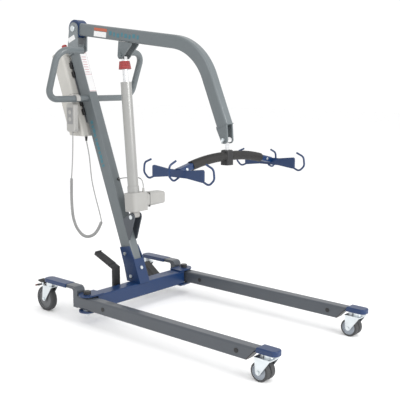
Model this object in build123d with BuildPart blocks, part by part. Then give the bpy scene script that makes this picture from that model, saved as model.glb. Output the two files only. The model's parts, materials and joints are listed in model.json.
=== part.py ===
"""Patient lift hoist on a castered base: opening legs, leaning mast, lifting boom and a six-hook spreader.

Frame: +X is forward, the way the legs point, +Y is the machine's left and +Z is up. The origin lies on
the floor, below the middle of the machine's box. Everything is in millimetres.
"""
import os
from math import atan2, cos, hypot, pi, radians, sin, tan

from build123d import *

os.makedirs("parts", exist_ok=True)

SIDES = {"right": -1, "left": 1}

# Overall reach, measured forward and back from the line of the leg pivots:
# to the front of the caster blocks, and to the battery pack's upper rear edge
front_reach = 1020
rear_reach = 530
base_x = (rear_reach - front_reach) / 2   # the line of the leg pivots

# Base
pivot_y = 315            # half the spacing of the leg pivots
crossbar_bottom, crossbar_top = 60, 124
crossbar_depth = 66
crossbar_half = 280
tube_wall = 3
clevis_thickness = 7
clevis_radius = 38
pivot_bolt_radius = 8
running_gap = 0.05       # radial clearance of every running fit

# Legs
leg_width = 48
leg_bottom, leg_top = 64.5, 119.5
leg_front_top, leg_front_bottom = 936, 884
arm_rear, arm_front = -70, -42
arm_bottom, arm_top = 144, 158
sleeve_front, sleeve_rear = -117, -278
sleeve_width = 54
plug_places = (126, 846)

# Casters
rear_swivel, rear_trail, rear_wheel = -255, 30, 57.5
rear_crown = (118, -226, -292)      # height, front and rear of the fork's crown plate
brake_pivot = (-291, 129)
rear_wheel_width = 30
front_swivel, front_trail, front_wheel = 975, 25, 37.5
front_crown = (88, 1003, 930)
front_wheel_width = 25
block_bottom, block_top = 106, 126

# Mast: its axis starts on the crossbar's top and leans back
mast_lean = radians(20.73)
mast_depth, mast_width = 66, 50
mast_length = 1157
grip_bar_up, grip_bar_forward = 900, 7     # where the handle crosses the mast, along and across it

# Boom
boom_pivot = (-395, 1296)      # from the pivot line, and from the floor
boom_corner = (374, 1201)
boom_end = (511, 875)
boom_bend = 240
boom_depth, boom_width = 58, 45
hanger_pin = (524, 818)

# Actuator: from its lower pin to its upper pin
lower_pin = (-19, 430)
upper_pin = (-80, 1166)
actuator_tube_radius = 25
actuator_rod_radius = 13
tube_start, tube_end = 112, 619
rod_tail = 240

# Handle
handle_radius = 15
handle_y = 260
handle_high = (-226, 1187)
handle_end_y = 121
handle_bend = 55

# Spreader
spreader_x = hanger_pin[0]
arch_top = 750            # height of the padded arms at the hub
plate_y = 305
plate_z = 706
plate_half = 132
hook_rod = 4


def world(x, y, z):
    """A point given from the pivot line, in the machine's frame."""
    return Vector(base_x + x, y, z)


def side_plane(y):
    """The plane at a given y, drawn with x forward and z up."""
    return Plane(origin=(base_x, y, 0), x_dir=(1, 0, 0), z_dir=(0, -1, 0))


def leaning_planes(foot, lean, y=0):
    """Cross plane and side plane of a member that stands on foot and leans back by lean."""
    origin = world(foot[0], y, foot[1])
    along = (-sin(lean), 0, cos(lean))
    across = (cos(lean), 0, sin(lean))
    return (Plane(origin=origin, x_dir=across, z_dir=along),
            Plane(origin=origin, x_dir=across, z_dir=(0, -1, 0)))


mast_foot = (0, crossbar_top)
mast_cross, mast_side = leaning_planes(mast_foot, mast_lean)
actuator_lean = atan2(lower_pin[0] - upper_pin[0], upper_pin[1] - lower_pin[1])
actuator_length = hypot(lower_pin[0] - upper_pin[0], upper_pin[1] - lower_pin[1])
actuator_cross, actuator_side = leaning_planes(lower_pin, actuator_lean)


def on_mast(forward, up, y=0):
    """A point given across and along the mast."""
    return mast_cross.from_local_coords((forward, y, up))


def save(builder, name):
    builder.part.label = name
    export_step(builder.part, f"parts/{name}.step")


def tube_route(points, diameter, limp=False):
    """Radii of the arcs that join the straight runs of a cord's route."""
    least = 3 if limp else 5
    radii = []
    for before, here, after in zip(points, points[1:], points[2:]):
        into, out = here - before, after - here
        turn = radians(into.get_angle(out))
        radius = 0.45 * min(into.length, out.length) / tan(turn / 2)
        radii.append(radius)
        if radius < least * diameter:
            print(f"  a tight bend: {radius:.0f} mm on a {diameter} mm cord")
    print("cord radii", [round(radius) for radius in radii])
    return radii


# ---------------------------------------------------------------- base

def make_crossbar():
    middle = (crossbar_bottom + crossbar_top) / 2
    height = crossbar_top - crossbar_bottom
    with BuildPart() as crossbar:
        with BuildSketch(side_plane(0)):
            with Locations((0, middle)):
                RectangleRounded(crossbar_depth, height, 6)
                RectangleRounded(crossbar_depth - 2 * tube_wall, height - 2 * tube_wall, 3,
                                 mode=Mode.SUBTRACT)
        extrude(amount=crossbar_half, both=True)
    save(crossbar, "crossbar")


def make_clevis_plates():
    """Plates above and below each end of the crossbar, which the leg turns between."""
    with BuildPart() as plates:
        for height in (crossbar_top, crossbar_bottom - clevis_thickness):
            with BuildSketch(Plane.XY.offset(height)):
                for side in SIDES.values():
                    with Locations((base_x, side * pivot_y)):
                        Circle(clevis_radius)
                    with Locations((base_x + clevis_radius, side * (pivot_y - 32))):
                        Rectangle(clevis_radius + 33, 64, align=(Align.MAX, Align.CENTER))
                    with Locations((base_x, side * pivot_y)):
                        Circle(pivot_bolt_radius + running_gap, mode=Mode.SUBTRACT)
            extrude(amount=clevis_thickness)
    save(plates, "clevis_plates")


def make_pivot_hardware():
    """Each pivot's bolt with its round head, its nut and the two washers beside the leg."""
    bottom = crossbar_bottom - clevis_thickness
    top = crossbar_top + clevis_thickness
    with BuildPart() as bolts:
        for side in SIDES.values():
            with BuildSketch(Plane.XY.offset(bottom - 16)):
                with Locations((base_x, side * pivot_y)):
                    Circle(pivot_bolt_radius)
            extrude(amount=top + 1 - bottom + 16)
            with BuildSketch(Plane.XY.offset(top + 0.1)):
                with Locations((base_x, side * pivot_y)):
                    Circle(16)
            extrude(amount=15)
            with BuildSketch(Plane.XY.offset(bottom - 12.1)):
                with Locations((base_x, side * pivot_y)):
                    RegularPolygon(12, 6)
            extrude(amount=12)
        fillet(bolts.faces().sort_by(Axis.Z).last.edges(), 3)
        for height in (crossbar_bottom + 0.1, leg_top + 0.2):
            with BuildSketch(Plane.XY.offset(height)):
                for side in SIDES.values():
                    with Locations((base_x, side * pivot_y)):
                        Circle(21)
                        Circle(pivot_bolt_radius + running_gap, mode=Mode.SUBTRACT)
            extrude(amount=4.2)
    save(bolts, "pivot_bolts")


def make_mast_socket():
    """Folded channel on the crossbar: a plate on each side of the mast and one on its front."""
    plate = 6
    half = mast_width / 2 + 0.2
    front = mast_depth / 2 + 0.2
    below = -60
    with BuildPart() as socket:
        for y in (-half - plate, half):
            with BuildSketch(mast_side.offset(-y)):
                with BuildLine():
                    Polyline((-52, below), (-36, 92), (-33, 178), (28, 168), (39, 100), (39, below),
                             close=True)
                make_face()
            extrude(amount=-plate)
        with BuildSketch(mast_cross.offset(below)):
            with Locations((front + plate / 2, 0)):
                Rectangle(plate, 2 * (half + plate))
        extrude(amount=103 - below)
        split(bisect_by=Plane.XY.offset(crossbar_top), keep=Keep.TOP)
        for up in (32, 141):
            with BuildSketch(mast_side):
                with Locations((-8, up)):
                    Circle(4.2)
            extrude(amount=60, both=True, mode=Mode.SUBTRACT)
        with BuildSketch(Plane(origin=on_mast(front - 4, 58), z_dir=mast_cross.x_dir)):
            Circle(4.2)
        extrude(amount=20, mode=Mode.SUBTRACT)
    save(socket, "mast_socket")


def make_socket_bolts():
    """Two bolts through the socket and the mast, and a short one in front."""
    half = mast_width / 2 + 6.3
    with BuildPart() as bolts:
        for up in (32, 141):
            with BuildSketch(mast_side.offset(-half)):
                with Locations((-8, up)):
                    Circle(4)
            extrude(amount=2 * half)
            with BuildSketch(mast_side.offset(half)):
                with Locations((-8, up)):
                    Circle(8)
            extrude(amount=5)
            with BuildSketch(mast_side.offset(-half)):
                with Locations((-8, up)):
                    RegularPolygon(7.5, 6)
            extrude(amount=-7)
        head_plane = Plane(origin=on_mast(mast_depth / 2 + 6.3, 58), z_dir=mast_cross.x_dir)
        with BuildSketch(head_plane):
            Circle(8)
        extrude(amount=5)
        with BuildSketch(head_plane):
            Circle(4)
        extrude(amount=-14)
    save(bolts, "socket_bolts")


def make_mast():
    """Rectangular tube, cut level at the foot and drilled for the handle, the bolts and the cable."""
    inner_depth, inner_width = mast_depth - 2 * tube_wall, mast_width - 2 * tube_wall
    with BuildPart() as mast:
        with BuildSketch(mast_cross.offset(-40)):
            RectangleRounded(mast_depth, mast_width, 6)
            RectangleRounded(inner_depth, inner_width, 3, mode=Mode.SUBTRACT)
        extrude(amount=mast_length + 40)
        for forward, up, radius in ((grip_bar_forward, grip_bar_up, handle_radius + 0.1),
                                    (-8, 32, 4.2), (-8, 141, 4.2)):
            with BuildSketch(mast_side):
                with Locations((forward, up)):
                    Circle(radius)
            extrude(amount=mast_width, both=True, mode=Mode.SUBTRACT)
        for up, y, radius in ((58, 0, 4.2), (cable_up, cable_y, 5)):
            with BuildSketch(Plane(origin=on_mast(mast_depth / 2 + 5, up, y), x_dir=(0, 1, 0),
                                   z_dir=mast_cross.x_dir)):
                Circle(radius)
            extrude(amount=-12, mode=Mode.SUBTRACT)
        split(bisect_by=Plane.XY.offset(crossbar_top + 0.1), keep=Keep.TOP)
    save(mast, "mast")


def make_top_bracket():
    """Two ears on the mast's head, which carry the boom's pivot, and the plate between them."""
    ear = 7.6
    gap = mast_width / 2 + 0.1
    pivot = mast_side.to_local_coords(world(boom_pivot[0], 0, boom_pivot[1]))
    with BuildPart() as bracket:
        for y in (-gap - ear, gap):
            with BuildSketch(mast_side.offset(-y)):
                with Locations((pivot.X, pivot.Y)):
                    Circle(29)
                with BuildLine():
                    Polyline((-32, 1130), (32, 1130), (32, 1160), (-32, 1160), close=True)
                make_face()
                make_hull()
                with Locations((pivot.X, pivot.Y)):
                    Circle(pivot_bolt_radius + running_gap, mode=Mode.SUBTRACT)
            extrude(amount=-ear)
        with BuildSketch(mast_cross.offset(mast_length + 0.1)):
            Rectangle(mast_depth - 4, 2 * gap)
        extrude(amount=6)
    save(bracket, "mast_top_bracket")


def make_pivot_bolt():
    reach = mast_width / 2 + 7.7 + 0.2
    place = (boom_pivot[0], boom_pivot[1])
    with BuildPart() as bolt:
        with BuildSketch(side_plane(reach)):
            with Locations(place):
                Circle(pivot_bolt_radius)
        extrude(amount=2 * reach)
        with BuildSketch(side_plane(-reach)):
            with Locations(place):
                Circle(14)
        extrude(amount=6)
        fillet(bolt.faces().sort_by(Axis.Y).first.edges(), 2)
        with BuildSketch(side_plane(reach)):
            with Locations(place):
                RegularPolygon(13, 6)
        extrude(amount=-8)
    save(bolt, "boom_pivot_bolt")


def make_handle():
    """One bent tube through the mast: a grip loop at each side, open where the boom comes down."""
    crossing = on_mast(grip_bar_forward, grip_bar_up)
    low_x, low_z = crossing.X, crossing.Z
    high_x, high_z = base_x + handle_high[0], handle_high[1]
    route = [(high_x, -handle_end_y, high_z), (high_x, -handle_y, high_z), (low_x, -handle_y, low_z),
             (low_x, handle_y, low_z), (high_x, handle_y, high_z), (high_x, handle_end_y, high_z)]
    with BuildPart() as handle:
        with BuildLine() as path:
            FilletPolyline(*route, radius=handle_bend)
        with BuildSketch(Plane(origin=path.line @ 0, z_dir=path.line % 0)):
            Circle(handle_radius)
            Circle(handle_radius - 2, mode=Mode.SUBTRACT)
        sweep()
    save(handle, "push_handle")
    with BuildPart() as caps:
        for side in SIDES.values():
            outside = Plane(origin=(high_x, side * (handle_end_y - 0.1), high_z), z_dir=(0, -side, 0))
            with BuildSketch(outside):
                Circle(handle_radius)
            extrude(amount=4)
            with BuildSketch(outside):
                Circle(handle_radius - 2.1)
            extrude(amount=-18)
    save(caps, "handle_caps")


# ---------------------------------------------------------------- control box and handset

box_near = -50                     # front of both boxes, across the mast
control_far, battery_far = -148, -128
box_half = 60
box_bottom, box_split, box_top = 790, 945, 1168   # floor height, then two heights along the mast
button_place = (-70, -12)


def make_control_bracket():
    with BuildPart() as bracket:
        with BuildSketch(mast_cross.offset(800)):
            with Locations(((box_near - mast_depth / 2) / 2, 0)):
                Rectangle(-box_near - mast_depth / 2 - 0.4, 36)
        extrude(amount=310)
    save(bracket, "control_bracket")


def make_control_box():
    """The control box below, cut level underneath, and the battery pack that slides on above it."""
    with BuildPart() as control:
        with BuildSketch(mast_cross.offset(box_split)):
            with Locations(((box_near + control_far) / 2, 0)):
                RectangleRounded(box_near - control_far, 2 * box_half, 12)
        extrude(amount=-260)
        split(bisect_by=Plane.XY.offset(box_bottom), keep=Keep.TOP)
        fillet(control.faces().sort_by(Axis.Z).first.edges(), 4)
    save(control, "control_box")
    with BuildPart() as battery:
        with BuildSketch(mast_cross.offset(box_split + 1)):
            with Locations(((box_near + battery_far) / 2, 0)):
                RectangleRounded(box_near - battery_far, 2 * box_half, 12)
        extrude(amount=box_top - box_split - 1)
        fillet(battery.faces().sort_by(Axis(mast_cross.origin, mast_cross.z_dir)).last.edges(), 10)
        with BuildSketch(mast_cross.offset(box_top - 14)):
            with Locations(button_place):
                Circle(6.05)
        extrude(amount=20, mode=Mode.SUBTRACT)
    save(battery, "battery_pack")


def make_stop_button():
    """Red mushroom button on a stem that slides into the battery pack's top."""
    with BuildPart() as button:
        with BuildSketch(mast_cross.offset(box_top - 10)):
            with Locations(button_place):
                Circle(6)
        extrude(amount=26)
        with BuildSketch(mast_cross.offset(box_top + 14)):
            with Locations(button_place):
                Circle(13)
        extrude(amount=18)
        fillet(button.faces().sort_by(Axis(mast_cross.origin, mast_cross.z_dir)).last.edges(), 6)
    save(button, "stop_button")


handset_x, handset_y = -343, -92
handset_bottom, handset_top = 812, 946
handset_width, handset_depth = 58, 28
key_heights = {"up": 905, "down": 872}


def make_handset():
    middle = (handset_bottom + handset_top) / 2
    front_y = handset_y - handset_depth / 2
    crossing = on_mast(grip_bar_forward, grip_bar_up)
    bar_x, bar_z = crossing.X - base_x, crossing.Z
    inner, outer = handle_radius + 0.6, handle_radius + 4.6
    with BuildPart() as handset:
        with BuildSketch(side_plane(handset_y)):
            with Locations((handset_x, middle)):
                RectangleRounded(handset_width, handset_top - handset_bottom, 12)
        extrude(amount=handset_depth / 2, both=True)
        fillet(handset.faces().filter_by(Axis.Y).edges(), 5)
        with BuildSketch(side_plane(handset_y)):
            with Locations((bar_x, bar_z)):
                Circle(outer)
                Rectangle(2 * outer, 60, align=(Align.CENTER, Align.MAX))
                Circle(inner, mode=Mode.SUBTRACT)
                Rectangle(2 * inner, 80, align=(Align.CENTER, Align.MAX), mode=Mode.SUBTRACT)
            with Locations((bar_x, bar_z - 60)):
                Rectangle(90, 50, align=(Align.MIN, Align.MIN), mode=Mode.SUBTRACT)
        extrude(amount=11, both=True)
        for height in key_heights.values():
            with BuildSketch(Plane(origin=world(handset_x, front_y, height), z_dir=(0, 1, 0))):
                Circle(10.06)
            extrude(amount=6, mode=Mode.SUBTRACT)
        with BuildSketch(Plane.XY.offset(handset_bottom)):
            with Locations((base_x + handset_x, handset_y)):
                Circle(5.5)
        extrude(amount=-7)
    save(handset, "handset")
    for name, height in key_heights.items():
        with BuildPart() as key:
            with BuildSketch(Plane(origin=world(handset_x, front_y + 3.5, height), z_dir=(0, -1, 0))):
                Circle(10)
            extrude(amount=6)
            fillet(key.faces().sort_by(Axis.Y).first.edges(), 1.5)
        save(key, f"{name}_key")


# ---------------------------------------------------------------- cords

lead_diameter = 6
curl_diameter = 16
gland_length = 22
box_exit = (-300, -46, box_bottom)
handset_exit = (handset_x, handset_y, handset_bottom - 7)


def sweep_tube(name, points, diameter, limp=False):
    route = [world(*point) for point in points]
    with BuildPart() as tube:
        with BuildLine() as path:
            FilletPolyline(*route, radius=tube_route(route, diameter, limp))
        with BuildSketch(Plane(origin=path.line @ 0, z_dir=path.line % 0)):
            Circle(diameter / 2)
        sweep()
    length = path.wire().length
    print(name, "length", round(length), "volume ratio",
          round(tube.part.volume / (pi * diameter ** 2 / 4 * length), 4))
    save(tube, name)


# The handset's cord hangs from the handset in one slack loop and comes back up to the control box
handset_lead = [handset_exit, (-344, -92, 760), (-348, -92, 700), (-353, -92, 644), (-362, -91, 590)]
curly_stretch = [(-362, -91, 590), (-366, -91, 520), (-366, -90, 450), (-360, -88, 388), (-338, -82, 338),
                 (-298, -73, 305), (-250, -62, 314), (-214, -54, 352), (-198, -50, 391)]
box_lead = [(-198, -50, 391), (-207, -50, 424), (-226, -49, 470), (-246, -49, 524), (-264, -49, 584),
            (-273, -48, 650), (-281, -47, 712), (-300, -46, box_bottom - gland_length)]


def make_cords():
    sweep_tube("handset_lead", handset_lead, lead_diameter)
    sweep_tube("curly_cord", curly_stretch, curl_diameter, limp=True)
    sweep_tube("box_lead", box_lead, lead_diameter)


cable_up, cable_y = 489, 12
motor_gland = (2, 34, 540)
motor_gland_length = 24


def make_glands():
    """Strain relief under the control box, and the grommet in the mast's front."""
    with BuildPart() as glands:
        with BuildSketch(Plane.XY.offset(box_bottom)):
            with Locations((base_x + box_exit[0], box_exit[1])):
                Circle(7)
        with BuildSketch(Plane.XY.offset(box_bottom - gland_length)):
            with Locations((base_x + box_exit[0], box_exit[1])):
                Circle(4.5)
        loft()
        face = Plane(origin=on_mast(mast_depth / 2, cable_up, cable_y), z_dir=mast_cross.x_dir)
        with BuildSketch(face.offset(-8)):
            Circle(4.9)
        extrude(amount=8.1)
        with BuildSketch(face.offset(0.1)):
            Circle(8)
        extrude(amount=3)
    save(glands, "cable_glands")


# ---------------------------------------------------------------- actuator

bracket_half = 25
ear_thickness = 6


def make_lower_bracket():
    """Two gussets on the mast's front that hold the actuator's lower pin."""
    face = mast_depth / 2 + 0.1
    pin = mast_side.to_local_coords(world(lower_pin[0], 0, lower_pin[1]))
    with BuildPart() as bracket:
        for y in (-bracket_half, bracket_half - ear_thickness):
            with BuildSketch(mast_side.offset(-y)):
                with Locations((pin.X, pin.Y)):
                    Circle(19)
                with BuildLine():
                    Polyline((face, pin.Y - 98), (face + 6, pin.Y - 98), (face + 6, pin.Y + 4),
                             (face, pin.Y + 4), close=True)
                make_face()
                make_hull()
                with Locations((pin.X, pin.Y)):
                    Circle(6.05, mode=Mode.SUBTRACT)
            extrude(amount=-ear_thickness)
    save(bracket, "lower_bracket")
    with BuildPart() as pin_part:
        with BuildSketch(side_plane(bracket_half + 1)):
            with Locations(lower_pin):
                Circle(6)
        extrude(amount=2 * bracket_half + 2)
        for y, way in ((-bracket_half - 0.3, 1), (bracket_half + 0.3, -1)):
            with BuildSketch(side_plane(y)):
                with Locations(lower_pin):
                    Circle(10)
            extrude(amount=way * 5)
    save(pin_part, "lower_pin")


housing_depth = 74


def make_motor_housing():
    """Gear housing on the actuator's foot, with the motor's pod standing out to the left."""
    with BuildPart() as housing:
        with BuildSketch(actuator_cross.offset(26)):
            with Locations((0, 12)):
                RectangleRounded(housing_depth, 92, 16)
        extrude(amount=tube_start - 26)
        with BuildSketch(Plane(origin=world(-24, 50, 504), x_dir=(1, 0, 0), z_dir=(0, 1, 0))):
            RectangleRounded(68, 66, 16)
        extrude(amount=130, taper=2)
        fillet(housing.faces().sort_by(Axis.Y).last.edges(), 10)
        with BuildSketch(Plane.XY.offset(motor_gland[2] - 12)):
            with Locations((base_x + motor_gland[0], motor_gland[1])):
                Circle(7)
        with BuildSketch(Plane.XY.offset(motor_gland[2] + motor_gland_length)):
            with Locations((base_x + motor_gland[0], motor_gland[1])):
                Circle(4.5)
        loft()
        with BuildSketch(actuator_side):
            with Locations((0, 15)):
                RectangleRounded(26, 42, 10)
        extrude(amount=18, both=True)
        with BuildSketch(actuator_side):
            Circle(6.05)
        extrude(amount=30, both=True, mode=Mode.SUBTRACT)
    save(housing, "motor_housing")


def make_actuator_tube():
    """Outer tube with its collar at the foot; the rod slides inside it."""
    with BuildPart() as tube:
        with BuildSketch(actuator_cross.offset(tube_start)):
            Circle(actuator_tube_radius + 2.5)
        extrude(amount=30)
        with BuildSketch(actuator_cross.offset(tube_start + 30)):
            Circle(actuator_tube_radius)
        extrude(amount=tube_end - tube_start - 30)
        with BuildSketch(actuator_cross.offset(tube_start + 20)):
            Circle(actuator_rod_radius + 6)
        extrude(amount=tube_end - tube_start - 40, mode=Mode.SUBTRACT)
        with BuildSketch(actuator_cross.offset(tube_start + 20)):
            Circle(actuator_rod_radius + running_gap)
        extrude(amount=tube_end - tube_start, mode=Mode.SUBTRACT)
    save(tube, "actuator_tube")


def make_actuator_rod():
    """Bright rod with the flat tongue that stands between the boom's ears."""
    with BuildPart() as rod:
        with BuildSketch(actuator_cross.offset(rod_tail)):
            Circle(actuator_rod_radius)
        extrude(amount=actuator_length - 20 - rod_tail)
        with BuildSketch(actuator_side):
            with Locations((0, actuator_length - 12)):
                RectangleRounded(20, 24, 6)
        extrude(amount=9, both=True)
    save(rod, "actuator_rod")
    with BuildPart() as coupling:
        with BuildSketch(actuator_cross.offset(actuator_length - 26)):
            Circle(24)
        with BuildSketch(actuator_cross.offset(actuator_length - 62)):
            Circle(29)
        loft()
        with BuildSketch(actuator_cross.offset(actuator_length - 70)):
            Circle(actuator_rod_radius + running_gap)
        extrude(amount=60, mode=Mode.SUBTRACT)
    save(coupling, "rod_coupling")


# ---------------------------------------------------------------- boom

boom_up_dir = (Vector(boom_corner[0] - boom_pivot[0], 0, boom_corner[1] - boom_pivot[1])).normalized()


def make_boom():
    """Bent rectangular tube with the ears for the hanger's pin at its end."""
    start = world(boom_pivot[0], 0, boom_pivot[1])
    corner = world(boom_corner[0], 0, boom_corner[1])
    end = world(boom_end[0], 0, boom_end[1])
    begin = start + boom_up_dir * 34
    with BuildPart() as boom:
        with BuildLine() as path:
            FilletPolyline(begin, corner, end, radius=boom_bend)
        with BuildSketch(Plane(origin=begin, x_dir=(0, 1, 0), z_dir=boom_up_dir)):
            RectangleRounded(boom_width, boom_depth, 9)
            RectangleRounded(boom_width - 2 * tube_wall, boom_depth - 2 * tube_wall, 6,
                             mode=Mode.SUBTRACT)
        sweep()
        down = (end - corner).normalized()
        with BuildSketch(Plane(origin=end, x_dir=(0, 1, 0), z_dir=down)):
            Rectangle(boom_width - 1, boom_depth - 1)
        extrude(amount=5)
        for y in (-21, 14):
            with BuildSketch(side_plane(y)):
                with Locations(hanger_pin):
                    Circle(17)
                with BuildLine():
                    Polyline((482, 868), (484, 858), (536, 880), (533, 886), close=True)
                make_face()
                make_hull()
                with Locations(hanger_pin):
                    Circle(7.05, mode=Mode.SUBTRACT)
            extrude(amount=-7)
    save(boom, "boom")


def make_boom_hub():
    """Round cheek block that carries the boom's rear end on the pivot bolt."""
    with BuildPart() as hub:
        with BuildSketch(side_plane(0)):
            with Locations(boom_pivot):
                Circle(42)
            with BuildLine():
                shift = boom_up_dir * 34
                rise = Vector(-boom_up_dir.Z, 0, boom_up_dir.X) * (boom_depth / 2)
                near = Vector(boom_pivot[0], 0, boom_pivot[1])
                corners = [near + rise, near + rise + shift, near - rise + shift, near - rise]
                Polyline(*[(corner.X, corner.Z) for corner in corners], close=True)
            make_face()
            with Locations(boom_pivot):
                Circle(pivot_bolt_radius + running_gap, mode=Mode.SUBTRACT)
        extrude(amount=mast_width / 2 - 1, both=True)
        cut = Plane(origin=world(boom_pivot[0], 0, boom_pivot[1]) + boom_up_dir * 33.8, z_dir=boom_up_dir)
        split(bisect_by=cut, keep=Keep.BOTTOM)
    save(hub, "boom_hub")


def make_upper_bracket():
    """Two ears under the boom for the actuator's head, each with its own short pin."""
    with BuildPart() as bracket:
        for y in (-bracket_half, bracket_half - ear_thickness):
            with BuildSketch(side_plane(y)):
                with Locations(upper_pin):
                    Circle(17)
                with BuildLine():
                    Polyline((-90, 1232), (-8, 1221), (-9, 1211), (-91, 1222), close=True)
                make_face()
                make_hull()
            extrude(amount=-ear_thickness)
        below = boom_up_dir.rotate(Axis.Y, 90) * (boom_depth / 2 + 0.1)
        origin = world(boom_pivot[0], 0, boom_pivot[1]) + below
        split(bisect_by=Plane(origin=origin, z_dir=below), keep=Keep.TOP)
        for side in SIDES.values():
            with BuildSketch(side_plane(side * (bracket_half - ear_thickness - 1.5))):
                with Locations(upper_pin):
                    Circle(6)
            extrude(amount=-side * (ear_thickness + 3))
            with BuildSketch(side_plane(side * (bracket_half + 0.3))):
                with Locations(upper_pin):
                    Circle(10)
            extrude(amount=-side * 5)
    save(bracket, "upper_bracket")


def make_hanger():
    """Pin through the boom's ears, and the swivel bolt that hangs on it."""
    with BuildPart() as pin:
        with BuildSketch(side_plane(24)):
            with Locations(hanger_pin):
                Circle(7)
        extrude(amount=54)
        with BuildSketch(side_plane(21.2)):
            with Locations(hanger_pin):
                Circle(11)
        extrude(amount=-4)
    save(pin, "hanger_pin")
    with BuildPart() as bolt:
        with BuildSketch(side_plane(0)):
            with Locations(hanger_pin):
                Circle(15)
                Circle(7.05, mode=Mode.SUBTRACT)
        extrude(amount=11, both=True)
        with BuildSketch(Plane.XY.offset(hanger_pin[1] - 13)):
            with Locations((base_x + hanger_pin[0], 0)):
                Circle(9)
        extrude(amount=-65)
        with BuildSketch(Plane.XY.offset(hanger_pin[1] - 78)):
            with Locations((base_x + hanger_pin[0], 0)):
                Circle(14)
        extrude(amount=-8)
    save(bolt, "swivel_bolt")


# ---------------------------------------------------------------- spreader

hub_half = 22
arm_end = 224
neck_end = 298


def make_spreader():
    x = base_x + hanger_pin[0]
    bolt_bottom = hanger_pin[1] - 86
    with BuildPart() as hub:
        with BuildSketch(Plane.XY.offset(714)):
            with Locations((x, 0)):
                RectangleRounded(42, 2 * hub_half, 12)
        extrude(amount=62)
        fillet(hub.faces().sort_by(Axis.Z).last.edges(), 8)
        with BuildSketch(Plane.XY.offset(bolt_bottom - 0.5)):
            with Locations((x, 0)):
                Circle(14.5)
        extrude(amount=9, mode=Mode.SUBTRACT)
        with BuildSketch(Plane.XY.offset(bolt_bottom)):
            with Locations((x, 0)):
                Circle(9.05)
        extrude(amount=60, mode=Mode.SUBTRACT)
        with BuildSketch(Plane.XY.offset(700)):
            with Locations((x, 0)):
                Circle(11)
        extrude(amount=bolt_bottom - 700.6, mode=Mode.SUBTRACT)
    save(hub, "spreader_hub")
    tips = []
    with BuildPart() as arms:
        for side in SIDES.values():
            with BuildLine() as path:
                ThreePointArc((x, side * (hub_half - 4), arch_top), (x, side * 125, arch_top - 5.5),
                              (x, side * arm_end, arch_top - 22))
            with BuildSketch(Plane(origin=path.line @ 0, z_dir=path.line % 0)):
                Circle(19)
            sweep()
            tips.append(Plane(origin=path.line @ 1, x_dir=(1, 0, 0), z_dir=path.line % 1))
    save(arms, "spreader_arms")
    with BuildPart() as plates:
        for side, tip in zip(SIDES.values(), tips):
            with BuildSketch(tip.offset(0.2)):
                RectangleRounded(30, 26, 6)
            extrude(amount=neck_end - arm_end)
            with BuildSketch(side_plane(side * (plate_y - 10))):
                with BuildLine():
                    waist, wing = 15, 25
                    left, right = spreader_x - plate_half, spreader_x + plate_half
                    Polyline((left, plate_z - wing), (spreader_x - 50, plate_z - waist),
                             (spreader_x + 50, plate_z - waist), (right, plate_z - wing),
                             (right, plate_z + wing), (spreader_x + 50, plate_z + waist),
                             (spreader_x - 50, plate_z + waist), (left, plate_z + wing), close=True)
                make_face()
                fillet(vertices(), 8)
            extrude(amount=-side * 8)
    save(plates, "hook_plates")


def hook_route(way, base):
    """A sling hook's centre line: out from the plate's lower corner, round, and back over its top."""
    along = Vector(*way)
    return [base + along * out + Vector(0, 0, up)
            for out, up in ((-6, -20), (24, -33), (50, -9), (46, 30), (10, 45))]


def make_hooks():
    x = base_x + spreader_x
    with BuildPart() as hooks:
        for side in SIDES.values():
            centre = Vector(x, side * (plate_y - 6), plate_z)
            starts = [((1, 0, 0), centre + Vector(plate_half, 0, 0)),
                      ((-1, 0, 0), centre + Vector(-plate_half, 0, 0)),
                      ((0, side, 0), centre + Vector(0, 0, 4))]
            for way, base in starts:
                route = hook_route(way, base)
                with BuildLine(mode=Mode.PRIVATE) as path:
                    FilletPolyline(*route, radius=21)
                with BuildSketch(Plane(origin=path.line @ 0, z_dir=path.line % 0)):
                    Circle(hook_rod)
                sweep(path=path.line)
    save(hooks, "sling_hooks")


# ---------------------------------------------------------------- legs

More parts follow.
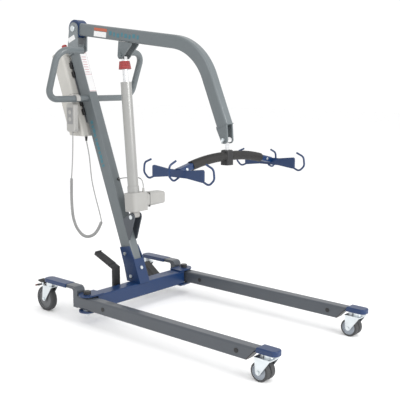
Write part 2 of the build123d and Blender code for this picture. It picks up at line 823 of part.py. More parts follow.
def make_leg(name, side):
    y = side * pivot_y
    with BuildPart() as tube:
        with BuildSketch(Plane.YZ.offset(base_x + arm_front)):
            with Locations((y, (leg_bottom + leg_top) / 2)):
                RectangleRounded(leg_width, leg_top - leg_bottom, 8)
                RectangleRounded(leg_width - 5, leg_top - leg_bottom - 5, 6, mode=Mode.SUBTRACT)
        extrude(amount=leg_front_top - arm_front)
        slope = Plane(origin=world(leg_front_bottom, 0, leg_bottom), x_dir=(0, 1, 0),
                      z_dir=(leg_top - leg_bottom, 0, leg_front_bottom - leg_front_top))
        split(bisect_by=slope, keep=Keep.BOTTOM)
        with BuildSketch(Plane.XY.offset(leg_bottom)):
            with Locations((base_x, y)):
                Circle(13)
        extrude(amount=leg_top - leg_bottom)
        with BuildSketch(Plane.XY.offset(leg_bottom)):
            with Locations((base_x, y)):
                Circle(pivot_bolt_radius + running_gap)
        extrude(amount=leg_top - leg_bottom, mode=Mode.SUBTRACT)
        with BuildSketch(side_plane(y)):
            with Locations(*[(place, (leg_bottom + leg_top) / 2) for place in plug_places]):
                Circle(8)
        extrude(amount=leg_width, both=True, mode=Mode.SUBTRACT)
        end = sleeve_front + 0.1
        with BuildSketch(side_plane(y)):
            with BuildLine():
                FilletPolyline((arm_front, leg_bottom), (arm_front, arm_top), (end, arm_top), radius=22)
                Line((end, arm_top), (end, arm_bottom))
                FilletPolyline((end, arm_bottom), (arm_rear, arm_bottom), (arm_rear, leg_bottom), radius=10)
                Line((arm_rear, leg_bottom), (arm_front, leg_bottom))
            make_face()
        extrude(amount=leg_width / 2 - 2, both=True)
    save(tube, f"leg_{name}")
    with BuildPart() as fittings:
        for place in plug_places:
            for face in (-1, 1):
                outside = side_plane(y + face * (leg_width / 2 + 0.1))
                with BuildSketch(outside):
                    with Locations((place, (leg_bottom + leg_top) / 2)):
                        Circle(7.9)
                extrude(amount=face * 6)
                with BuildSketch(outside):
                    with Locations((place, (leg_bottom + leg_top) / 2)):
                        Circle(9.5)
                extrude(amount=-face * 1.4)
        with BuildSketch(slope.offset(0.1)):
            with Locations((y, hypot(leg_front_top - leg_front_bottom, leg_top - leg_bottom) / 2)):
                RectangleRounded(leg_width - 1, 72, 8)
        extrude(amount=2.5)
        split(bisect_by=Plane.XY.offset(block_bottom - 2), keep=Keep.BOTTOM)
    save(fittings, f"leg_plugs_{name}")


def make_rear_sleeve(name, side):
    """Sleeve on the leg's rear arm, which holds the rear caster."""
    y = side * pivot_y
    with BuildPart() as sleeve:
        with BuildSketch(Plane.XY.offset(arm_bottom - 1.5)) as plan:
            with Locations((base_x + (sleeve_front + sleeve_rear) / 2, y)):
                Rectangle(sleeve_front - sleeve_rear, sleeve_width)
            fillet(plan.vertices().group_by(Axis.X)[0], 22)
        extrude(amount=arm_top - arm_bottom + 3)
        fillet(sleeve.faces().sort_by(Axis.Z).last.edges(), 4)
        with BuildSketch(Plane.XY.offset(arm_bottom - 2)):
            with Locations((base_x + rear_swivel, y)):
                Circle(6 + running_gap)
        extrude(amount=15, mode=Mode.SUBTRACT)
    save(sleeve, f"rear_sleeve_{name}")


def make_caster_block(name, side):
    """Block that carries the front caster ahead of the leg, with a tongue inside the leg."""
    y = side * pivot_y
    with BuildPart() as block:
        with BuildSketch(Plane.XY.offset(block_bottom)) as plan:
            with Locations((base_x + leg_front_top + 0.2, y)):
                Rectangle(front_reach - leg_front_top - 0.2, leg_width + 4, align=(Align.MIN, Align.CENTER))
            fillet(plan.vertices().group_by(Axis.X)[-1], 20)
        extrude(amount=block_top - block_bottom)
        fillet(block.faces().sort_by(Axis.Z).last.edges(), 5)
        with BuildSketch(Plane.XY.offset(block_bottom + 1)):
            with Locations((base_x + leg_front_top + 10, y)):
                Rectangle(50, leg_width - 10, align=(Align.MAX, Align.CENTER))
        extrude(amount=leg_top - 5 - block_bottom)
        with BuildSketch(Plane.XY.offset(block_bottom - 1)):
            with Locations((base_x + front_swivel, y)):
                Circle(6 + running_gap)
        extrude(amount=20, mode=Mode.SUBTRACT)
    save(block, f"caster_block_{name}")


def make_fork(name, side, place, swivel, trail, wheel, inner_half, crown, mount_z):
    """Swivel fork: stem, bearing head, crown plate and two tapered cheeks with the axle bolt."""
    y = side * pivot_y
    x = base_x + swivel
    height, front, rear = crown
    cheek = 3
    reach = inner_half + cheek
    with BuildPart() as fork:
        with BuildSketch(Plane.XY.offset(height)):
            with Locations((x, y)):
                Circle(6)
        extrude(amount=mount_z - height + 13)
        with BuildSketch(Plane.XY.offset(height)):
            with Locations((x, y)):
                Circle(20)
        extrude(amount=mount_z - 0.3 - height)
        with BuildSketch(Plane.XY.offset(height)):
            with Locations((base_x + (front + rear) / 2, y)):
                RectangleRounded(front - rear, 2 * reach, 5)
        extrude(amount=4)
        for y_face in (-reach, inner_half):
            with BuildSketch(side_plane(y + y_face)):
                with Locations((swivel - trail, wheel)):
                    Circle(11)
                with BuildLine():
                    Polyline((rear + 3, height + 4), (front - 5, height + 4), (front - 5, height - 3),
                             (rear + 3, height - 3), close=True)
                make_face()
                make_hull()
            extrude(amount=-cheek)
        with BuildSketch(side_plane(y + reach)):
            with Locations((swivel - trail, wheel)):
                Circle(4)
        extrude(amount=2 * reach)
        for way in (1, -1):
            with BuildSketch(side_plane(y - way * reach)):
                with Locations((swivel - trail, wheel)):
                    RegularPolygon(7, 6)
            extrude(amount=way * 4)
        if place == "rear":
            for lug in (y - 16, y + 18.5):
                with BuildSketch(side_plane(lug)):
                    with Locations(brake_pivot):
                        Circle(5.5)
                        Rectangle(11, brake_pivot[1] - height, align=(Align.CENTER, Align.MAX))
                extrude(amount=2.5)
            with BuildSketch(side_plane(y)):
                with Locations(brake_pivot):
                    Circle(2.5)
            extrude(amount=18, both=True)
    save(fork, f"{place}_fork_{name}")


def make_wheel(label, y, centre_x, radius, width, edge):
    """Wheel with a recessed disc on each face and a running bore."""
    with BuildPart() as wheel:
        with BuildSketch(side_plane(y)):
            with Locations((centre_x, radius)):
                Circle(radius)
        extrude(amount=width / 2, both=True)
        fillet(wheel.edges().filter_by(GeomType.CIRCLE), edge)
        for way in (-1, 1):
            with BuildSketch(side_plane(y - way * width / 2)):
                with Locations((centre_x, radius)):
                    Circle(radius * 0.72)
                    Circle(radius * 0.28, mode=Mode.SUBTRACT)
            extrude(amount=-way * 4, mode=Mode.SUBTRACT)
        with BuildSketch(side_plane(y)):
            with Locations((centre_x, radius)):
                Circle(4 + running_gap)
        extrude(amount=width, both=True, mode=Mode.SUBTRACT)
    save(wheel, label)


def make_brake(name, side):
    """Foot pedal that locks the rear caster, with its small release tab below."""
    pivot_plane = leaning_planes(brake_pivot, 0, side * pivot_y)[1]
    with BuildPart() as brake:
        with BuildSketch(pivot_plane):
            Circle(5)
            with BuildLine():
                Polyline((0, -5), (5, 2), (-4, 12), (-35, 12), (-38, 4), (-16, 2), close=True)
            make_face()
        extrude(amount=15.7, both=True)
        with BuildSketch(pivot_plane):
            with BuildLine():
                Polyline((-2, -4.8), (0, 2), (-41, -11), (-71, -21), (-71, -27), (-39, -20), close=True)
            make_face()
        extrude(amount=8, both=True)
        with BuildSketch(pivot_plane):
            Circle(2.5 + running_gap)
        extrude(amount=20, both=True, mode=Mode.SUBTRACT)
    save(brake, f"brake_pedal_{name}")


def make_pedal(name, y, lean):
    """Foot lever behind the crossbar: an upright bar and the sloping tread at its head."""
    shaft = (-48, 92)
    bar, width = 14, 38
    plane = leaning_planes(shaft, lean, y)[1]
    with BuildPart() as pedal:
        with BuildSketch(plane):
            with BuildLine():
                Polyline((-bar / 2, 0), (bar / 2, 0), (bar / 2, 112), (-124, 163), (-127, 153),
                         (-bar / 2, 104), close=True)
            make_face()
            Circle(12)
        extrude(amount=width / 2, both=True)
        with BuildSketch(plane):
            Circle(6 + running_gap)
        extrude(amount=width, both=True, mode=Mode.SUBTRACT)
    save(pedal, f"pedal_{name}")


def make_pedal_shaft():
    """Shaft behind the crossbar on three lugs, which both foot levers turn on."""
    shaft = (-48, 92)
    lugs = (-142, 0, 240)
    with BuildPart() as rod:
        with BuildSketch(side_plane(246)):
            with Locations(shaft):
                Circle(6)
        extrude(amount=246 + 148)
        for y in lugs:
            with BuildSketch(side_plane(y)):
                with Locations(shaft):
                    Circle(10)
                with BuildLine():
                    Polyline((-crossbar_depth / 2 - 0.1, 76), (-crossbar_depth / 2 - 0.1, 108),
                             (-52, 100), (-52, 84), close=True)
                make_face()
            extrude(amount=4, both=True)
    save(rod, "pedal_shaft")


def make_motor_cable():
    top = motor_gland[2] + motor_gland_length + 1.6
    face = on_mast(mast_depth / 2 + 3.1, cable_up, cable_y)
    before = on_mast(mast_depth / 2 + 22, cable_up, cable_y)
    points = [(motor_gland[0], motor_gland[1], top), (motor_gland[0] - 2, motor_gland[1] + 1, top + 24),
              (-26, 41, top + 42), (-62, 36, top + 40),
              (before.X - base_x, before.Y, before.Z), (face.X - base_x, face.Y, face.Z)]
    sweep_tube("motor_cable", points, 5, limp=True)


make_crossbar()
make_clevis_plates()
make_pivot_hardware()
make_mast_socket()
make_socket_bolts()
make_mast()
make_top_bracket()
make_pivot_bolt()
make_handle()
make_control_bracket()
make_control_box()
make_stop_button()
make_handset()
make_cords()
make_glands()
make_motor_cable()
make_lower_bracket()
make_motor_housing()
make_actuator_tube()
make_actuator_rod()
make_boom()
make_boom_hub()
make_upper_bracket()
make_hanger()
make_spreader()
make_hooks()
make_pedal_shaft()
make_pedal("right", -100, 0)
make_pedal("left", 187, radians(55))
for name, side in SIDES.items():
    make_leg(name, side)
    make_rear_sleeve(name, side)
    make_caster_block(name, side)
    make_fork(name, side, "rear", rear_swivel, rear_trail, rear_wheel, rear_wheel_width / 2 + 2,
              rear_crown, arm_bottom - 1.5)
    make_fork(name, side, "front", front_swivel, front_trail, front_wheel, front_wheel_width + 4,
              front_crown, block_bottom)
    make_wheel(f"rear_wheel_{name}", side * pivot_y, rear_swivel - rear_trail, rear_wheel,
               rear_wheel_width, 6)
    for place, shift in (("inner", -1), ("outer", 1)):
        wheel_y = side * (pivot_y + shift * (front_wheel_width / 2 + 1.5))
        make_wheel(f"front_wheel_{place}_{name}", wheel_y, front_swivel - front_trail, front_wheel,
                   front_wheel_width, 5)
    make_brake(name, side)
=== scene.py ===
"""Patient lift hoist: finishes, cords, marks and small trim on the machine's solid parts."""

import json
from math import atan2, cos, pi, radians, sin

import bmesh
import bpy
from mathutils import Matrix, Vector


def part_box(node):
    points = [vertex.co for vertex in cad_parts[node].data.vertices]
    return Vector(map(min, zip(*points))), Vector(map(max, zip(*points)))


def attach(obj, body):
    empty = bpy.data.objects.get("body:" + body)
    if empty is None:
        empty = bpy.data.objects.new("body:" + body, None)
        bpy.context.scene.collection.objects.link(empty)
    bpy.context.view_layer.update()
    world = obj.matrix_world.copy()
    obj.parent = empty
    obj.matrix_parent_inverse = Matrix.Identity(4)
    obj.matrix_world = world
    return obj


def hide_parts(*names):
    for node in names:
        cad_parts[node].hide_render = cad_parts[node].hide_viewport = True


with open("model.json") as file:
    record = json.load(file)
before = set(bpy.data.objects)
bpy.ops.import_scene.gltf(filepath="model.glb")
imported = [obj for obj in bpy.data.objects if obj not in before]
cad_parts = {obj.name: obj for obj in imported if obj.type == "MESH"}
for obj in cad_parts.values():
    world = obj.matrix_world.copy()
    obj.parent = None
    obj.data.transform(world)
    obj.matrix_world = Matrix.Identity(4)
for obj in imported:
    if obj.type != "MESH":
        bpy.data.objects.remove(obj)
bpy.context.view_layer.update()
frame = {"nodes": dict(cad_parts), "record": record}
nodes = frame["nodes"]

# Driving places, in metres: x is counted from the line of the leg pivots
pivot_line = -0.245
pivot_y = 0.315
mast_foot = (0.0, 0.124)
mast_lean = radians(20.73)
mast_depth, mast_width = 0.066, 0.050
boom_pivot = (-0.395, 1.296)
boom_corner = (0.374, 1.201)
boom_width = 0.045
hanger_x = 0.524
sides = {"right": -1, "left": 1}


def place(x, y, z):
    """A point given from the pivot line, in the machine's frame."""
    return Vector((pivot_line + x, y, z))


def leaning_frame(x, z, lean, y=0.0):
    """Matrix of a member that stands at x, z and leans back: local X forward, Y left, Z along it."""
    across = Vector((cos(lean), 0, sin(lean)))
    along = Vector((-sin(lean), 0, cos(lean)))
    turn = Matrix((across, (0, 1, 0), along)).transposed().to_4x4()
    return Matrix.Translation(place(x, y, z)) @ turn


mast_frame = leaning_frame(*mast_foot, mast_lean)
boom_slope = atan2(boom_pivot[1] - boom_corner[1], boom_corner[0] - boom_pivot[0])
boom_frame = leaning_frame(*boom_pivot, -boom_slope)
pivot_frame = Matrix.Translation(place(0, 0, 0))


# ---------------------------------------------------------------- camera

def make_camera():
    data = bpy.data.cameras.new("camera")
    data.lens = 66.55
    data.sensor_width = 36
    camera = bpy.data.objects.new("camera", data)
    camera.location = place(2.4174, -2.3599, 1.0632)
    camera.rotation_euler = (radians(90 - 9.32), 0, radians(40.83))
    camera.rotation_euler.rotate_axis("Z", radians(0.18))
    bpy.context.scene.collection.objects.link(camera)
    bpy.context.scene.camera = camera


make_camera()


# ---------------------------------------------------------------- materials

class Value:
    """A shader socket that takes part in ordinary arithmetic."""

    def __init__(self, material, socket):
        self.material = material
        self.socket = socket

    def _math(self, operation, first, second):
        return self.material.node("ShaderNodeMath", {"operation": operation}, {0: first, 1: second})

    def __add__(self, other):
        return self._math("ADD", self, other)

    def __radd__(self, other):
        return self._math("ADD", other, self)

    def __sub__(self, other):
        return self._math("SUBTRACT", self, other)

    def __rsub__(self, other):
        return self._math("SUBTRACT", other, self)

    def __mul__(self, other):
        return self._math("MULTIPLY", self, other)

    def __rmul__(self, other):
        return self._math("MULTIPLY", other, self)

    def __truediv__(self, other):
        return self._math("DIVIDE", self, other)

    def __pow__(self, other):
        return self._math("POWER", self, other)

    def __gt__(self, other):
        return self._math("GREATER_THAN", self, other)

    def __lt__(self, other):
        return self._math("LESS_THAN", self, other)


class Finish:
    """A material under construction."""

    def __init__(self, name, roughness=0.5, metallic=0.0, coat=0.0):
        self.data = bpy.data.materials.new(name)
        self.data.use_nodes = True
        self.tree = self.data.node_tree
        self.shader = self.tree.nodes["Principled BSDF"]
        self.set("Roughness", roughness)
        self.set("Metallic", metallic)
        self.set("Coat Weight", coat)

    def node(self, kind, settings=None, inputs=None, output=0):
        made = self.tree.nodes.new(kind)
        for key, value in (settings or {}).items():
            setattr(made, key, value)
        for key, value in (inputs or {}).items():
            self.feed(made.inputs[key], value)
        return Value(self, made.outputs[output])

    def feed(self, socket, value):
        if isinstance(value, Value):
            self.tree.links.new(value.socket, socket)
        else:
            socket.default_value = value

    def set(self, name, value):
        self.feed(self.shader.inputs[name], value)

    def where(self):
        """The point on the piece, in the machine's frame."""
        return self.node("ShaderNodeTexCoord", output="Object")

    def axes(self):
        split = self.tree.nodes.new("ShaderNodeSeparateXYZ")
        self.feed(split.inputs[0], self.where())
        return [Value(self, output) for output in split.outputs]

    def noise(self, scale, detail=3.0, stretch=None):
        point = self.where()
        if stretch:
            point = self.node("ShaderNodeMapping", {}, {"Vector": point, "Scale": stretch})
        return self.node("ShaderNodeTexNoise", {}, {"Vector": point, "Scale": scale, "Detail": detail})

    def mix(self, factor, first, second):
        """Blend of two colours."""
        return self.node("ShaderNodeMix", {"data_type": "RGBA"}, {0: factor, 6: first, 7: second},
                         output=2)

    def bump(self, height, strength, distance):
        self.set("Normal", self.node("ShaderNodeBump", {}, {"Height": height, "Strength": strength,
                                                            "Distance": distance}))

    def between(self, value, low, high):
        """Value from 0 to 1 spread over low to high."""
        return value * (high - low) + low


def rgb(*colour):
    return (*colour, 1.0)


def shade(colour, factor):
    return (*[channel * factor for channel in colour[:3]], 1.0)


def painted(name, colour, roughness=0.38, coat=0.25, orange_peel=0.06):
    """Powder coat: an even colour with a faint cloudiness and a slight orange peel."""
    finish = Finish(name, coat=coat)
    cloud = finish.noise(9.0)
    finish.set("Base Color", finish.mix(cloud, shade(colour, 0.90), shade(colour, 1.10)))
    finish.set("Roughness", finish.between(finish.noise(25.0), roughness - 0.06, roughness + 0.08))
    finish.bump(finish.noise(900.0, 1.0), orange_peel, 0.0002)
    return finish.data


def plated(name, colour, roughness=0.3):
    """Bright metal with fine handling marks."""
    finish = Finish(name, metallic=1.0)
    finish.set("Base Color", finish.mix(finish.noise(40.0), shade(colour, 0.88), shade(colour, 1.08)))
    finish.set("Roughness", finish.between(finish.noise(70.0), roughness - 0.08, roughness + 0.12))
    finish.bump(finish.noise(500.0, 2.0), 0.04, 0.0001)
    return finish.data


def moulded(name, colour, roughness=0.5, grain=0.12):
    """Moulded plastic or rubber with a spark-eroded grain."""
    finish = Finish(name)
    finish.set("Base Color", finish.mix(finish.noise(14.0), shade(colour, 0.93), shade(colour, 1.06)))
    finish.set("Roughness", finish.between(finish.noise(60.0), roughness - 0.05, roughness + 0.08))
    finish.bump(finish.noise(1400.0, 1.0), grain, 0.0002)
    return finish.data


def wheel_finish(name, centre, radius, disc_colour):
    """Dark tread round a paler disc, parted at a fraction of the wheel's radius."""
    finish = Finish(name)
    x, y, z = finish.axes()
    reach = ((x - centre[0]) ** 2.0 + (z - centre[2]) ** 2.0) ** 0.5
    tread = reach > radius * 0.76
    grain = finish.noise(60.0)
    disc = finish.mix(grain, shade(disc_colour, 0.88), shade(disc_colour, 1.1))
    rubber = finish.mix(grain, rgb(0.030, 0.031, 0.033), rgb(0.045, 0.046, 0.048))
    finish.set("Base Color", finish.mix(tread, disc, rubber))
    finish.set("Roughness", finish.between(tread, 0.42, 0.62) + (grain - 0.5) * 0.08)
    finish.bump(finish.noise(900.0, 1.0), 0.08, 0.0002)
    return finish.data


def capped_steel(name, height):
    """Plated steel below a height and a black cap above it."""
    finish = Finish(name)
    up = finish.axes()[2]
    cap = up > height
    grain = finish.noise(50.0)
    steel = finish.mix(grain, rgb(0.52, 0.56, 0.58), rgb(0.68, 0.72, 0.74))
    black = finish.mix(grain, rgb(0.014, 0.014, 0.015), rgb(0.024, 0.024, 0.025))
    finish.set("Base Color", finish.mix(cap, steel, black))
    finish.set("Metallic", 1.0 - cap)
    finish.set("Roughness", finish.between(cap, 0.3, 0.42) + grain * 0.08)
    finish.bump(finish.noise(700.0, 1.0), 0.05, 0.0001)
    return finish.data


def threaded(name, colour, foot, pitch):
    """Moulded plastic with turned grooves round the actuator's axis, with painted shade in the grooves
    and a painted highlight on the crests.
    """
    finish = Finish(name)
    x, y, z = finish.axes()
    along = (z - foot[2]) * 0.9966 - (x - foot[0]) * 0.0826
    groove = finish.node("ShaderNodeMath", {"operation": "SINE"}, {0: along * (2 * pi / pitch)})
    # Painted shade and highlight: the colour darkens into each groove and lightens on each crest.
    finish.set("Base Color", finish.mix(groove * 0.5 + 0.5, shade(colour, 0.7), shade(colour, 1.2)))
    finish.set("Roughness", finish.between(finish.noise(60.0), 0.32, 0.45))
    finish.bump(groove, 0.5, 0.0012)
    return finish.data


def brushed_tube(name, colour):
    """Satin tube with faint lines drawn along it."""
    finish = Finish(name, metallic=0.35, coat=0.3)
    lines = finish.noise(60.0, 2.0, (30.0, 30.0, 0.6))
    finish.set("Base Color", finish.mix(lines, shade(colour, 0.86), shade(colour, 1.12)))
    finish.set("Roughness", finish.between(lines, 0.24, 0.40))
    finish.bump(lines, 0.05, 0.0001)
    return finish.data


def soft_sleeve(name, colour):
    """Closed-cell foam sleeve with a dull, slightly pitted skin."""
    finish = Finish(name)
    finish.set("Base Color", finish.mix(finish.noise(30.0), shade(colour, 0.85), shade(colour, 1.15)))
    finish.set("Roughness", finish.between(finish.noise(50.0), 0.55, 0.72))
    finish.bump(finish.noise(420.0, 4.0), 0.25, 0.0004)
    return finish.data


finishes = {
    "grey_paint": painted("grey_paint", (0.112, 0.130, 0.138)),
    "dark_grey_paint": painted("dark_grey_paint", (0.050, 0.058, 0.070)),
    "navy_paint": painted("navy_paint", (0.002, 0.023, 0.088), 0.36, 0.08),
    "light_grey_paint": painted("light_grey_paint", (0.17, 0.19, 0.20)),
    "bright_steel": plated("bright_steel", (0.66, 0.70, 0.72)),
    "chrome": plated("chrome", (0.80, 0.81, 0.82), 0.16),
    "black_plastic": moulded("black_plastic", (0.009, 0.009, 0.010), 0.42),
    "grey_plastic": moulded("grey_plastic", (0.36, 0.355, 0.34), 0.46),
    "light_plastic": moulded("light_plastic", (0.47, 0.46, 0.43), 0.5),
    "red_plastic": moulded("red_plastic", (0.36, 0.030, 0.028), 0.36),
    "tyre_rubber": moulded("tyre_rubber", (0.035, 0.035, 0.037), 0.6),
    "black_rubber": soft_sleeve("black_rubber", (0.007, 0.0065, 0.006)),
    "cord_grey": moulded("cord_grey", (0.33, 0.33, 0.33), 0.48),
    "teal_print": moulded("teal_print", (0.04, 0.15, 0.19), 0.4, 0.02),
    "white_print": moulded("white_print", (0.72, 0.72, 0.72), 0.4, 0.02),
    "orange_print": moulded("orange_print", (0.42, 0.10, 0.05), 0.4, 0.02),
    "green_print": moulded("green_print", (0.06, 0.30, 0.12), 0.4, 0.02),
    "dark_gap": moulded("dark_gap", (0.012, 0.012, 0.013), 0.7, 0.02),
    "rose_print": moulded("rose_print", (0.50, 0.24, 0.27), 0.4, 0.02),
    "dark_keypad": moulded("dark_keypad", (0.24, 0.24, 0.24), 0.45, 0.04),
    "tread_rubber": moulded("tread_rubber", (0.030, 0.030, 0.031), 0.62),
    "brake_tip_plastic": moulded("brake_tip_plastic", (0.13, 0.045, 0.035), 0.5),
}


def dress(name, material):
    """Gives a solid part its finish."""
    for material_slot in nodes[name].material_slots:
        material_slot.material = material


for entry in frame["record"]["subparts"]:
    dress(entry["node"], finishes[entry["material_slot"]])
for name in nodes:
    if "wheel" in name:
        low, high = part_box(name)
        middle = [(a + b) / 2 for a, b in zip(low, high)]
        disc_colour = (0.11, 0.115, 0.12) if "rear" in name else (0.30, 0.33, 0.37)
        dress(name, wheel_finish(f"{name}_finish", middle, (high[2] - low[2]) / 2, disc_colour))


actuator_foot = place(-0.019, 0, 0.430)
dress("pivot_bolts", capped_steel("pivot_cap_finish", 0.1312))
dress("rod_coupling", threaded("coupling_finish", (0.30, 0.032, 0.032), actuator_foot, 0.007))
dress("actuator_tube", brushed_tube("tube_finish", (0.34, 0.34, 0.33)))


# ---------------------------------------------------------------- cords

lead_points = [(-0.343, -0.092, 0.805), (-0.344, -0.092, 0.760), (-0.348, -0.092, 0.700),
               (-0.353, -0.092, 0.644), (-0.362, -0.091, 0.590)]
curl_points = [(-0.362, -0.091, 0.590), (-0.366, -0.091, 0.520), (-0.366, -0.090, 0.450),
               (-0.360, -0.088, 0.388), (-0.338, -0.082, 0.338), (-0.298, -0.073, 0.305),
               (-0.250, -0.062, 0.314), (-0.214, -0.054, 0.352), (-0.198, -0.050, 0.391)]
box_points = [(-0.198, -0.050, 0.391), (-0.207, -0.050, 0.424), (-0.226, -0.049, 0.470),
              (-0.246, -0.049, 0.524), (-0.264, -0.049, 0.584), (-0.273, -0.048, 0.650),
              (-0.281, -0.047, 0.712), (-0.300, -0.046, 0.768)]
cord_diameter = 0.0055
curl_radius = 0.0052
curl_pitch = 0.0060
turn_points = 12


def spline_curve(name, points, diameter):
    """One open spline with these control points, as round as diameter."""
    curve = bpy.data.curves.new(name, "CURVE")
    curve.dimensions = "3D"
    curve.bevel_depth = diameter / 2
    curve.bevel_resolution = 3
    curve.use_fill_caps = True
    spline = curve.splines.new("NURBS")
    spline.points.add(len(points) - 1)
    for point, spot in zip(spline.points, points):
        point.co = (*spot, 1.0)
    spline.order_u = 3
    spline.use_endpoint_u = True
    spline.resolution_u = 3
    piece = bpy.data.objects.new(name, curve)
    bpy.context.scene.collection.objects.link(piece)
    return piece


def route_of(points):
    """Evenly dense points along the spline that these control points give."""
    guide = spline_curve("guide", points, 0)
    guide.data.splines[0].resolution_u = 40
    mesh = bpy.data.meshes.new_from_object(guide)
    route = [vertex.co.copy() for vertex in mesh.vertices]
    bpy.data.meshes.remove(mesh)
    bpy.data.objects.remove(guide)
    return route


def length_of(route):
    return sum((after - before).length for before, after in zip(route, route[1:]))


def curled(route, radius, pitch):
    """Points of a coil wound round a route, growing out of it and closing into it at its ends."""
    total = length_of(route)
    turns = round(total / pitch)
    steps = turns * turn_points
    points = []
    travelled = 0.0
    index = 0
    across = (route[1] - route[0]).orthogonal().normalized()
    for step in range(steps + 1):
        target = total * step / steps
        while index < len(route) - 2 and travelled + (route[index + 1] - route[index]).length < target:
            travelled += (route[index + 1] - route[index]).length
            index += 1
        segment = route[index + 1] - route[index]
        spot = route[index] + segment.normalized() * (target - travelled)
        ahead = segment.normalized()
        across = (across - ahead * across.dot(ahead)).normalized()
        swell = radius * min(1.0, step / turn_points, (steps - step) / turn_points)
        angle = 2 * pi * step / turn_points
        points.append(spot + (across * cos(angle) + ahead.cross(across) * sin(angle)) * swell)
    return points


def cord_finish():
    """Satin jacket of the handset's cord."""
    finish = Finish("cord_finish")
    clouds = finish.noise(25.0)
    finish.set("Base Color", finish.mix(clouds, rgb(0.27, 0.27, 0.27), rgb(0.36, 0.36, 0.355)))
    finish.set("Roughness", finish.between(finish.noise(90.0), 0.42, 0.55))
    finish.bump(finish.noise(1600.0, 1.0), 0.08, 0.0001)
    return finish.data


def make_handset_cord():
    lead = [place(*point) for point in lead_points]
    curl = curled(route_of([place(*point) for point in curl_points]), curl_radius, curl_pitch)
    tail = [place(*point) for point in box_points]
    points = lead[:-1] + curl + tail[1:]
    piece = spline_curve("handset_cord", points, cord_diameter)
    piece.data.materials.append(cord_finish())
    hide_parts("handset_lead", "curly_cord", "box_lead")
    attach(piece, "base")
    length_of(route_of(points))
    print("handset cord", round(length_of(route_of(points)), 3))


def make_motor_cable():
    face = mast_frame @ Vector((mast_depth / 2 + 0.0031, 0.012, 0.489))
    before = mast_frame @ Vector((mast_depth / 2 + 0.022, 0.012, 0.489))
    points = [place(0.002, 0.034, 0.5656), place(0.0, 0.035, 0.5896), place(-0.026, 0.041, 0.6076),
              place(-0.062, 0.036, 0.6056), before, face]
    piece = spline_curve("motor_cord", points, 0.005)
    piece.data.splines[0].resolution_u = 10
    piece.data.materials.append(finishes["cord_grey"])
    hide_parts("motor_cable")
    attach(piece, "base")
    length_of(route_of(points))


make_handset_cord()
make_motor_cable()


# ---------------------------------------------------------------- small pieces

def piece_from(name, mesh_data, frame_matrix, body, finish):
    """Turns a bmesh into a finished piece that rides on a body."""
    bmesh.ops.transform(mesh_data, matrix=frame_matrix, verts=mesh_data.verts)
    bmesh.ops.recalc_face_normals(mesh_data, faces=mesh_data.faces)
    mesh = bpy.data.meshes.new(name)
    mesh_data.to_mesh(mesh)
    mesh_data.free()
    piece = bpy.data.objects.new(name, mesh)
    mesh.materials.append(finishes[finish])
    bpy.context.scene.collection.objects.link(piece)
    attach(piece, body)
    return piece


def slab(shape, centre, size, edge=0.0):
    """Adds a box with bevelled edges to a bmesh."""
    made = bmesh.ops.create_cube(shape, size=1.0)
    bmesh.ops.scale(shape, vec=size, verts=made["verts"])
    bmesh.ops.translate(shape, vec=centre, verts=made["verts"])
    if edge:
        edges = list({e for v in made["verts"] for e in v.link_edges})
        bmesh.ops.bevel(shape, geom=edges, offset=edge, segments=2, profile=0.5, affect="EDGES",
                        material=-1)


def facing(axis, spot):
    """Matrix that turns local Z to the X or the Y axis, at a spot."""
    return Matrix.Translation(spot) @ Matrix.Rotation(pi / 2, 4, "Y" if axis == "X" else "X")


def disc(shape, matrix, radius, depth, edge=0.0, sides_count=32):
    """Adds a short cylinder to a bmesh, along the matrix's Z."""
    made = bmesh.ops.create_cone(shape, cap_ends=True, segments=sides_count, radius1=radius,
                                 radius2=radius, depth=depth, matrix=matrix)
    if edge:
        rims = [e for e in {e for v in made["verts"] for e in v.link_edges}
                if any(len(f.verts) > 4 for f in e.link_faces)]
        bmesh.ops.bevel(shape, geom=rims, offset=edge, segments=2, profile=0.5, affect="EDGES",
                        material=-1)


def ring(shape, matrix, major, minor):
    """Adds a closed wire ring round the matrix's Z."""
    made = bmesh.ops.create_circle(shape, segments=10, radius=minor, matrix=facing("Y", (major, 0, 0)))
    edges = list({e for v in made["verts"] for e in v.link_edges})
    bmesh.ops.spin(shape, geom=made["verts"] + edges, cent=(0, 0, 0), axis=(0, 0, 1),
                   dvec=(0, 0, 0), angle=2 * pi, steps=36, use_merge=True)
    bmesh.ops.transform(shape, matrix=matrix, verts=shape.verts)


def make_mast_marks():
    """Rating plate on the mast's front and plain printed marks down its side."""
    front = mast_depth / 2 + 0.0003
    near = -mast_width / 2 - 0.0003
    plate = bmesh.new()
    slab(plate, (front, 0, 1.024), (0.0005, 0.040, 0.196))
    piece_from("mast_plate", plate, mast_frame, "base", "white_print")
    lines = bmesh.new()
    for step in range(7):
        slab(lines, (front + 0.0004, -0.003, 1.024 + 0.0125 * step), (0.0004, 0.026, 0.0028))
    for end in (0.929, 1.012, 1.119):
        slab(lines, (front + 0.0004, 0, end), (0.0004, 0.040, 0.002))
    piece_from("mast_plate_lines", lines, mast_frame, "base", "rose_print")
    marks = bmesh.new()
    for step in range(11):
        height = 0.012 + 0.004 * (step % 3)
        slab(marks, (-0.004 - 0.002 * (step % 2), near, 0.570 + 0.0215 * step), (0.016, 0.0005, height))
    piece_from("mast_marks", marks, mast_frame, "base", "teal_print")


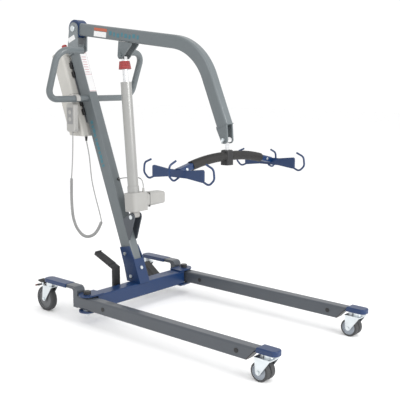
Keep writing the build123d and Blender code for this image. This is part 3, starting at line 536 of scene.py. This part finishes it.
def make_boom_marks():
    """Load label near the boom's pivot and a row of plain printed bars beyond it."""
    near = -boom_width / 2 - 0.0003
    label = bmesh.new()
    slab(label, (0.182, near, -0.010), (0.084, 0.0005, 0.024))
    piece_from("boom_label", label, boom_frame, "boom", "white_print")
    strip = bmesh.new()
    slab(strip, (0.184, near, 0.011), (0.088, 0.0005, 0.013))
    piece_from("boom_strip", strip, boom_frame, "boom", "orange_print")
    bars = bmesh.new()
    for step in range(8):
        width = 0.017 - 0.005 * (step % 2)
        slab(bars, (0.252 + 0.0255 * step, near, 0.001 - 0.003 * (step % 3)), (width, 0.0005, 0.018))
    piece_from("boom_marks", bars, boom_frame, "boom", "teal_print")


def make_bracket_band():
    """Pale band round the head bracket's near ear."""
    band = bmesh.new()
    slab(band, (0.017, -mast_width / 2 - 0.0079, 1.196), (0.050, 0.0005, 0.022))
    piece_from("bracket_band", band, mast_frame, "base", "white_print")


def make_box_trim():
    """Seams, a dark band across the top of the battery pack's face, plugs, lamp and screws of the
    control box and the battery pack.
    """
    dark = bmesh.new()
    slab(dark, (-0.092, 0, 0.9455), (0.070, 0.118, 0.0010))
    for step in range(5):
        slab(dark, (-0.1481, -0.030 + 0.015 * step, 0.800), (0.0010, 0.006, 0.040), 0.0004)
    # A dark band across the top of the battery pack's face, just under the handle bar.
    slab(dark, (-0.1282, 0, 1.110), (0.0008, 0.070, 0.016), 0.0003)
    piece_from("box_gaps", dark, mast_frame, "base", "dark_gap")
    plugs = bmesh.new()
    for up in (0.895, 0.850, 1.040, 1.085):
        slab(plugs, (-0.041, -0.022, up), (0.014, 0.020, 0.030), 0.003)
    piece_from("box_plugs", plugs, mast_frame, "base", "black_plastic")
    lamp = bmesh.new()
    disc(lamp, facing("X", (-0.1284, 0.036, 1.080)), 0.0035, 0.001)
    piece_from("battery_lamp", lamp, mast_frame, "base", "green_print")
    screws = bmesh.new()
    for y in (-0.048, 0.048):
        for up in (0.772, 0.925):
            disc(screws, facing("X", (-0.1482, y, up)), 0.0035, 0.0010, 0.0003)
    piece_from("box_screws", screws, mast_frame, "base", "bright_steel")


def make_handset_trim():
    """Keypad skin on the handset, with a raised round surround at each key."""
    front = -0.092 - 0.014
    skin = bmesh.new()
    slab(skin, (-0.343, front - 0.0004, 0.888), (0.040, 0.0008, 0.078), 0.0003)
    for height in (0.905, 0.872):
        disc(skin, facing("Y", (-0.343, front - 0.0006, height)), 0.0135, 0.0014, 0.0003)
    piece_from("keypad_skin", skin, pivot_frame, "base", "dark_keypad")


def make_pedal_treads():
    """Ribbed rubber treads with a raised lip on the two foot levers."""
    slope = atan2(0.051, 0.131)
    for name, y, lean in (("right", -0.100, 0.0), ("left", 0.187, radians(55))):
        arm = leaning_frame(-0.048, 0.092, lean, y)
        pad = arm @ Matrix.Translation((0.007, 0, 0.112)) @ Matrix.Rotation(slope, 4, "Y")
        tread = bmesh.new()
        slab(tread, (-0.083, 0, 0.0012), (0.104, 0.0378, 0.0024), 0.0006)
        for step in range(13):
            slab(tread, (-0.036 - 0.0075 * step, 0, 0.0030), (0.0034, 0.036, 0.0020), 0.0006)
        slab(tread, (-0.1375, 0, 0.0040), (0.0050, 0.0378, 0.0080), 0.0015)
        piece_from(f"pedal_tread_{name}", tread, pad, f"{name}_pedal", "tread_rubber")


def make_brake_treads():
    """Ribs on the brake pedals and the red-brown tips of their release tabs."""
    for name, side in sides.items():
        pad = Matrix.Translation(place(-0.291, side * pivot_y, 0.129))
        tread = bmesh.new()
        for step in range(5):
            slab(tread, (-0.007 - 0.006 * step, 0, 0.012), (0.0028, 0.029, 0.0012), 0.0004)
        piece_from(f"brake_tread_{name}", tread, pad, f"{name}_brake", "tread_rubber")
        tip = bmesh.new()
        slab(tip, (0, 0, 0), (0.018, 0.0168, 0.0082), 0.0015)
        tab = pad @ Matrix.Translation((-0.0622, 0, -0.0212)) @ Matrix.Rotation(-radians(17), 4, "Y")
        piece_from(f"brake_tip_{name}", tip, tab, f"{name}_brake", "brake_tip_plastic")


def make_hanger_ring():
    """Split ring through the hanger pin's near end."""
    wire = bmesh.new()
    ring(wire, facing("X", (0, 0, 0)), 0.0095, 0.0011)
    spot = Matrix.Translation(place(hanger_x - 0.004, -0.0285, 0.8115))
    piece_from("hanger_ring", wire, spot @ Matrix.Rotation(radians(25), 4, "Z"), "boom", "bright_steel")


def make_motor_trim():
    """Seam between the motor's pod and the gear housing."""
    seam = bmesh.new()
    slab(seam, (-0.024, 0.070, 0.504), (0.0690, 0.0012, 0.0670), 0.0004)
    piece_from("motor_seam", seam, pivot_frame, "actuator", "dark_gap")


def make_arm_bolts():
    """Bolt heads on the necks of the hook plates."""
    heads = bmesh.new()
    for side in sides.values():
        for x in (hanger_x - 0.0158, hanger_x + 0.0158):
            disc(heads, facing("X", (x, side * 0.262, 0.7195)), 0.0062, 0.0040, 0.001, 6)
    piece_from("arm_bolts", heads, pivot_frame, "spreader", "bright_steel")


make_mast_marks()
make_boom_marks()
make_bracket_band()
make_box_trim()
make_handset_trim()
make_pedal_treads()
make_brake_treads()
make_hanger_ring()
make_motor_trim()
make_arm_bolts()


# ---------------------------------------------------------------- floor and light

def make_stage():
    bpy.ops.mesh.primitive_plane_add(size=40)
    floor = bpy.context.object
    floor.name = "floor"
    finish = Finish("floor_finish", roughness=0.9)
    finish.set("Base Color", finish.mix(finish.noise(3.0), rgb(0.95, 0.95, 0.95), rgb(0.97, 0.97, 0.97)))
    floor.data.materials.append(finish.data)
    world = bpy.data.worlds.new("studio")
    bpy.context.scene.world = world
    world.use_nodes = True
    world.node_tree.nodes["Background"].inputs[0].default_value = rgb(1, 1, 1)
    world.node_tree.nodes["Background"].inputs[1].default_value = 1.04
    bpy.context.scene.view_settings.view_transform = "Standard"
    for name, spot, aim, power, size in (("key", (1.0, -3.0, 3.6), (0, 0, 0.5), 40, 2.5),
                                         ("front", (4.2, 0.2, 2.4), (0, 0, 0.7), 130, 2.2)):
        light = bpy.data.lights.new(name, "AREA")
        light.energy = power
        light.size = size
        lamp = bpy.data.objects.new(name, light)
        lamp.location = spot
        lamp.rotation_euler = (Vector(aim) - Vector(spot)).to_track_quat("-Z", "Y").to_euler()
        bpy.context.scene.collection.objects.link(lamp)


make_stage()
